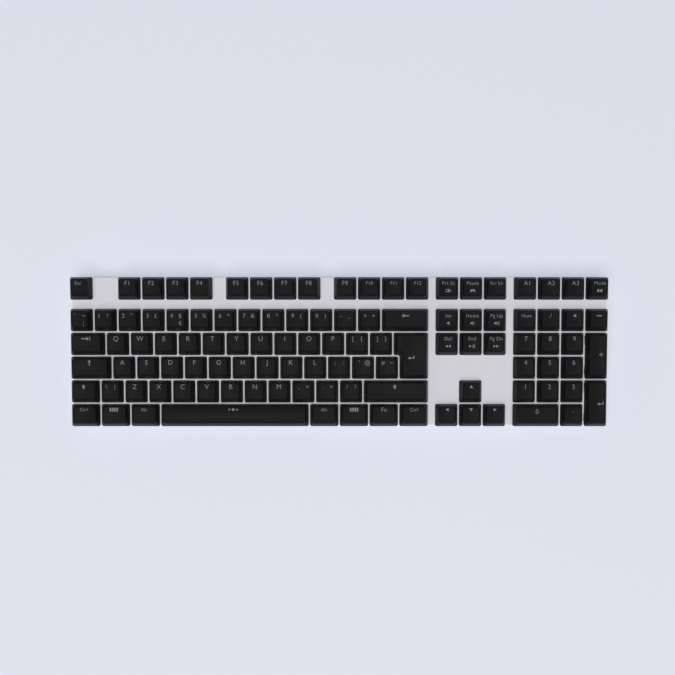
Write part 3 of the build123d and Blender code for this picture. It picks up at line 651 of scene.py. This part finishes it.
rings, leans = [], (side_lean, front_lean, rear_lean)
for k in range(rounding_rings + 1):
    bend, first = k / rounding_rings, edge_round / enter_height
    flat = enter_outline(*(lean + edge_round for lean in leans), flat_corner, 0)
    rim = enter_outline(*leans, rim_corner, 0)
    below = enter_outline(*(lean * (1 - first) for lean in leans), wall_corner, 0)
    ring = []
    for a, b, c in zip(flat, rim, below):
        a.z, b.z = enter_top(a.x, a.y), enter_top(b.x, b.y)
        c.z = b.z * (1 - first)
        ring.append(a * (1 - bend) ** 2 + b * 2 * bend * (1 - bend) + c * bend**2)
    rings.append(ring)
for k in range(1, wall_rings + 1):
    left = (1 - edge_round / enter_height) * (1 - k / wall_rings)
    ring = enter_outline(*(lean * left for lean in leans), base_corner, 0)
    for point, above in zip(ring, rim):
        point.z = above.z * left
    rings.append(ring)
roof_in, roof_front = cap_wall + side_lean * roof_back, 0.0008
rings.append(enter_outline(cap_wall, cap_wall, cap_wall, pocket_corner, 0))
rings.append(enter_outline(
    roof_in, roof_in + roof_front, cap_wall + rear_lean, pocket_corner, enter_height - roof_depth
))

work = bmesh.new()
corners = [[work.verts.new(point) for point in ring] for ring in rings]
for above, below in zip(corners, corners[1:]):
    for n in range(len(above)):
        m = (n + 1) % len(above)
        work.faces.new((above[n], below[n], below[m], above[m]))
top_face = work.faces.new(corners[0])
work.faces.new(corners[-1][::-1])
top_faces = [top_face]
strip, strip_start, first_strip, last_strip = 0.001, 0.0003, -13, 10
for x in range(first_strip, last_strip):
    edges = list({edge for face in top_faces for edge in face.edges})
    verts = list({vert for face in top_faces for vert in face.verts})
    cut = bmesh.ops.bisect_plane(
        work, geom=verts + edges + top_faces, plane_co=(x * strip + strip_start, 0, 0), plane_no=(1, 0, 0)
    )
    flat_top = [f for f in cut["geom"] if isinstance(f, bmesh.types.BMFace)]
    top_faces = list(dict.fromkeys(f for f in top_faces + flat_top if f.is_valid))
for vert in {vert for face in top_faces for vert in face.verts}:
    vert.co.z = enter_top(vert.co.x, vert.co.y)
bmesh.ops.triangulate(work, faces=[face for face in work.faces if len(face.verts) > 4])
enter_mesh = bpy.data.meshes.new("cap_key_enter")
work.to_mesh(enter_mesh)
work.free()
enter_mesh.materials.append(cap_plastic)
enter_mesh.transform(deck @ Matrix.Translation((*enter_place, skirt_height)))
face_outwards(enter_mesh)
keep_as_cap(mesh_piece("cap_key_enter", enter_mesh), "key_enter")

# ---------------------------------------------------------------------------------------------
# The sliders and the stabilisers' stems that the caps are pushed onto: glossy moulded plastic that
# slides well. They are the CAD's own solids, freed from the caps that they share a node with.
# ---------------------------------------------------------------------------------------------
slider_plastic = plain_material("slider_plastic", (0.30, 0.33, 0.38, 1), 0.25)
grained(slider_plastic, 1800, 0.00001, 0.06, 0.04)
cross_top = 0.0125
up_the_deck = deck.inverted()

for key in key_places:
    work = bmesh.new()
    work.from_mesh(frame["nodes"][key].data)
    bmesh.ops.remove_doubles(work, verts=work.verts, dist=touching)
    seen, of_caps = set(), []
    for seed in work.verts:
        if seed in seen:
            continue
        solid, edge_of = [seed], 0
        seen.add(seed)
        while edge_of < len(solid):
            for edge in solid[edge_of].link_edges:
                other = edge.other_vert(solid[edge_of])
                if other not in seen:
                    seen.add(other)
                    solid.append(other)
            edge_of += 1
        if max((up_the_deck @ vert.co).z for vert in solid) > cross_top:
            of_caps += solid
    bmesh.ops.delete(work, geom=of_caps, context="VERTS")
    mesh = bpy.data.meshes.new("slider_" + key)
    work.to_mesh(mesh)
    work.free()
    mesh.materials.append(slider_plastic)
    piece = mesh_piece("slider_" + key, mesh)
    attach(piece, key)
    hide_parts(key)

# ---------------------------------------------------------------------------------------------
# The return springs: ten turns of drawn steel wire round each slider's pin, from the floor of the
# shell up into the slider. The springs under each key body are one piece, held by the fixed body.
# ---------------------------------------------------------------------------------------------
spring_foot, spring_length, coil_radius, wire_radius = -0.004, 0.0092, 0.0021, 0.00019
spring_turns, turn_steps, rod_sides, rod_sharp = 10.0, 9, 4, 80

tree, entry, leave, (length, radius, wire) = new_tree(
    "return_spring", Length="NodeSocketFloat", Radius="NodeSocketFloat", Wire="NodeSocketFloat"
)
coil = wired(
    tree, "GeometryNodeCurveSpiral", Resolution=turn_steps, Rotations=spring_turns,
    Start_Radius=radius, End_Radius=radius, Height=length,
)
section = wired(tree, "GeometryNodeCurvePrimitiveCircle", Resolution=rod_sides, Radius=wire)
rod = wired(
    tree, "GeometryNodeCurveToMesh", Curve=coil.outputs["Curve"],
    Profile_Curve=section.outputs["Curve"], Fill_Caps=True,
)
stand_on_points(tree, entry, leave, rod.outputs["Mesh"], steel)
for key, places in key_places.items():
    piece = grown(
        "springs_" + key, places, spring_foot + wire_radius, tree,
        Length=spring_length - 2 * wire_radius, Radius=coil_radius, Wire=wire_radius,
    )
    face_outwards(piece.data, rod_sharp)
    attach(piece, "body")
    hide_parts("switch_springs")
    key + "_press"
    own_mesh(piece)

# ---------------------------------------------------------------------------------------------
# The legends: letters, figures and plain signs of the second shot, flush with the dished tops. The
# maker's signs are left out: four bars and three dots stand in their places.
# ---------------------------------------------------------------------------------------------


def disc(x, y, radius, sides=16):
    """A round dot, as an outline in millimetres."""
    turns = [2 * math.pi * k / sides for k in range(sides)]
    return [(x + radius * math.cos(turn), y + radius * math.sin(turn)) for turn in turns]


def spiked(outer, inner, spikes):
    """A star about the middle of a cap, as an outline in millimetres."""
    turn = math.pi / spikes
    return [(r * math.cos(turn * k), r * math.sin(turn * k)) for k, r in enumerate((outer, inner) * spikes)]


def bar(x0, y0, x1, y1):
    """A rectangle between two corners."""
    return [(x0, y0), (x1, y0), (x1, y1), (x0, y1)]


def turned(outline, degrees):
    """An outline turned about its own middle."""
    c, s = math.cos(math.radians(degrees)), math.sin(math.radians(degrees))
    return [(c * x - s * y, s * x + c * y) for x, y in outline]


thin_arrow = [(3.0, 0), (1.0, 1.6), (1.0, 0.4), (-3.0, 0.4), (-3.0, -0.4), (1.0, -0.4), (1.0, -1.6)]
fat_arrow = [(0, 1.8), (-1.5, 0.1), (-0.7, 0.1), (-0.7, -1.7), (0.7, -1.7), (0.7, 0.1), (1.5, 0.1)]
wedge = [(1.3, 0), (-1.0, 1.4), (-1.0, -1.4)]
speaker = [(-1.9, 0.6), (-1.1, 0.6), (0.2, 1.6), (0.2, -1.6), (-1.1, -0.6), (-1.9, -0.6)]
signs = {
    "arrow_left": [turned(thin_arrow, 180)],
    "arrow_up": [turned([(x * 0.75, y * 0.9) for x, y in thin_arrow], 90)],
    "shift": [fat_arrow],
    "shift_long": [fat_arrow],
    "tab": [[(x - 0.7, y) for x, y in thin_arrow], bar(2.7, -1.5, 3.3, 1.5)],
    "enter": [[(-2.9, -0.4), (-0.9, 1.1), (-0.9, 0), (2.1, 0), (2.1, 1.9), (2.8, 1.9), (2.8, -0.75),
               (-0.9, -0.75), (-0.9, -1.9)]],
    "left": [turned(wedge, 180)],
    "right": [wedge],
    "up": [turned(wedge, 90)],
    "down": [turned(wedge, -90)],
    "star": [spiked(1.7, 0.7, 6)],
    "minus": [bar(-1.9, -0.45, 1.9, 0.45)],
    "four": [bar(x - 0.62, -1.5, x + 0.62, 1.5) for x in (-2.7, -0.9, 0.9, 2.7)],
    "dots": [disc(-3.0, 0, 0.75), disc(0, 0, 1.15), disc(3.0, 0, 0.75)],
    "plug": [[(-2.3, 1.1), (0, 1.1), (0, 1.4), (1, 1.4), (1, 0.35), (2.4, 0.35), (2.4, -0.35), (1, -0.35),
              (1, -1.4), (0, -1.4), (0, -1.1), (-2.3, -1.1), (-2.3, -0.5), (0, -0.5), (0, 0.5), (-2.3, 0.5)]],
    "pad": [[(-2.2, -1.3), (-1.6, 1.1), (1.6, 1.1), (2.2, -1.3), (1.3, -1.3), (0.8, -0.4), (-0.8, -0.4),
             (-1.3, -1.3)]],
    "squares": [bar(-2.1, -1.1, -0.2, 1.1), bar(0.3, -1.1, 2.2, 1.1)],
    "mute": [speaker],
    "softer": [speaker, bar(0.9, -0.9, 1.4, 0.9)],
    "louder": [speaker, bar(0.9, -0.9, 1.4, 0.9), bar(1.9, -1.5, 2.4, 1.5)],
    "back": [[(x * 0.9 + d, y * 0.85) for x, y in turned(wedge, 180)] for d in (-1.2, 1.2)],
    "next": [[(x * 0.9 + d, y * 0.85) for x, y in wedge] for d in (-1.2, 1.2)],
    "play": [
        [(x * 0.9 - 1.3, y * 0.85) for x, y in wedge],
        bar(0.7, -1.4, 1.3, 1.4),
        bar(1.9, -1.4, 2.5, 1.4),
    ],
}
shot_depth, flush, slice_width = 0.12, 0.02, 0.6
pair_size, under_size, word_size, icon_size = 3.2, 3.0, 2.7, 0.95
letter_sizes, long_word_size = {1: 3.6, 2: 3.3}, 2.6
middle_aside, pair_aside, sign_below = -0.1, 3.3, 6.0
# Marks that stand off the usual place, sideways or towards the front.
aside = {"Esc": -0.4, "@dots": -0.8, "@arrow_up": 0.0, "@shift_long": -1.2}
forward = {"0": 1.6, "@arrow_up": 0.3}


def solid_of(curve):
    """A flat curve as a closed mesh, with its front face up."""
    curve.dimensions, curve.fill_mode = "2D", "BOTH"
    holder = bpy.data.objects.new("mark", curve)
    mesh = bpy.data.meshes.new_from_object(holder)
    bpy.data.objects.remove(holder)
    bpy.data.curves.remove(curve)
    return mesh


def letters(text):
    """Lettering as a mesh, one unit of font size high."""
    curve = bpy.data.curves.new("mark", "FONT")
    curve.body, curve.extrude, curve.resolution_u, curve.offset = text, 0.01, 4, -0.006
    curve.space_character = 1.05
    return solid_of(curve)


def figure(outlines):
    """A sign as a mesh, in millimetres."""
    curve = bpy.data.curves.new("mark", "CURVE")
    curve.dimensions, curve.extrude = "2D", 0.01
    for outline in outlines:
        spline = curve.splines.new("POLY")
        spline.points.add(len(outline) - 1)
        for point, (x, y) in zip(spline.points, outline):
            point.co = (x, y, 0, 1)
        spline.use_cyclic_u = True
    return solid_of(curve)


capital = letters("H")
capital_height = max(v.co.y for v in capital.vertices)


def mark_at(text, x, y, size):
    """A mark's mesh in millimetres about a place on a cap: lettering by its baseline."""
    if text.startswith("@") and len(text) > 1:
        mesh, scale, low = figure(signs[text[1:]]), size, 0.0
    else:
        mesh, scale = letters(text), size / capital_height
        low = -size / 2
    middle = (max(v.co.x for v in mesh.vertices) + min(v.co.x for v in mesh.vertices)) / 2
    for vert in mesh.vertices:
        top = vert.co.z > 0
        level = flush if top else flush - shot_depth
        vert.co = ((vert.co.x - middle) * scale + x, vert.co.y * scale + low + y, level)
    return mesh


def marks_of(says, back):
    """The marks of one cap as (text, x, y, size), in millimetres from its middle."""
    below, word_aside = back - sign_below, 0.2
    if isinstance(says, tuple):
        first, second, *third = says
        pair = [(first, -pair_aside, back, pair_size), (second, pair_aside, back, pair_size)]
        return pair + [(mark, pair_aside, below, under_size) for mark in third]
    if "|" in says:
        word, sign = says.split("|")
        return [(word, word_aside, back, word_size), ("@" + sign, word_aside, below, icon_size)]
    size = 1.0 if says.startswith("@") else letter_sizes.get(len(says), long_word_size)
    return [(says, aside.get(says, middle_aside), back - forward.get(says, 0), size)]


def legend_for(key, cap_marks, surface):
    """Lays the marks of a body's caps on their tops, as one piece."""
    whole = bmesh.new()
    for (place_x, place_y), marks in zip(key_places[key], cap_marks):
        for text, x, y, size in marks:
            mesh = mark_at(text, x, y, size)
            work = bmesh.new()
            work.from_mesh(mesh)
            bmesh.ops.remove_doubles(work, verts=work.verts, dist=1e-5)
            low, high = (pick(v.co.x for v in work.verts) for pick in (min, max))
            for k in range(1, int((high - low) / slice_width) + 1):
                plane = (low + k * slice_width, 0, 0)
                everything = work.verts[:] + work.edges[:] + work.faces[:]
                bmesh.ops.bisect_plane(work, geom=everything, plane_co=plane, plane_no=(1, 0, 0))
            bmesh.ops.recalc_face_normals(work, faces=work.faces)
            for vert in work.verts:
                x_here, y_here = vert.co.x / 1000, vert.co.y / 1000
                z_here = skirt_height + surface(x_here, y_here) + vert.co.z / 1000
                vert.co = on_deck(place_x + x_here, place_y + y_here, z_here)
            work.to_mesh(mesh)
            work.free()
            whole.from_mesh(mesh)
            bpy.data.meshes.remove(mesh)
    made = bpy.data.meshes.new("legend_" + key)
    whole.to_mesh(made)
    whole.free()
    made.materials.clear()
    made.materials.append(legend_plastic)
    keep_as_cap(mesh_piece("legend_" + key, made), key)


def straight_top(columns, deep, height, rise, crowned=False):
    """The height of a straight cap's top over its skirt, as a function of place."""
    half = (columns * unit - cap_gap) / 2 - side_lean
    half_deep = (deep * unit - cap_gap - front_lean - rear_lean) / 2

    def surface(x, y):
        shaped = -crown_drop * ((y - top_back) / half_deep) ** 2 if crowned else dish_depth * (x / half) ** 2
        return height + (y - top_back) * rise + shaped

    return surface


for key, (row, _, columns, says) in key_groups.items():
    back = rows[row][3] * 1000
    surface = straight_top(columns, 1, rows[row][1], rows[row][2], key == "key_space")
    legend_for(key, [marks_of(mark, back) for mark in says], surface)
for key, (_, _, height, rise, says) in tall_keys.items():
    size, forth = (4.6, 1.7) if says == "+" else (0.85, 1.0)
    legend_for(key, [[(says, 2.3, forth, size)]], straight_top(1, 2, height, rise))
legend_for("key_enter", [[("@enter", -2.6, -0.6, 0.9)]], enter_top)
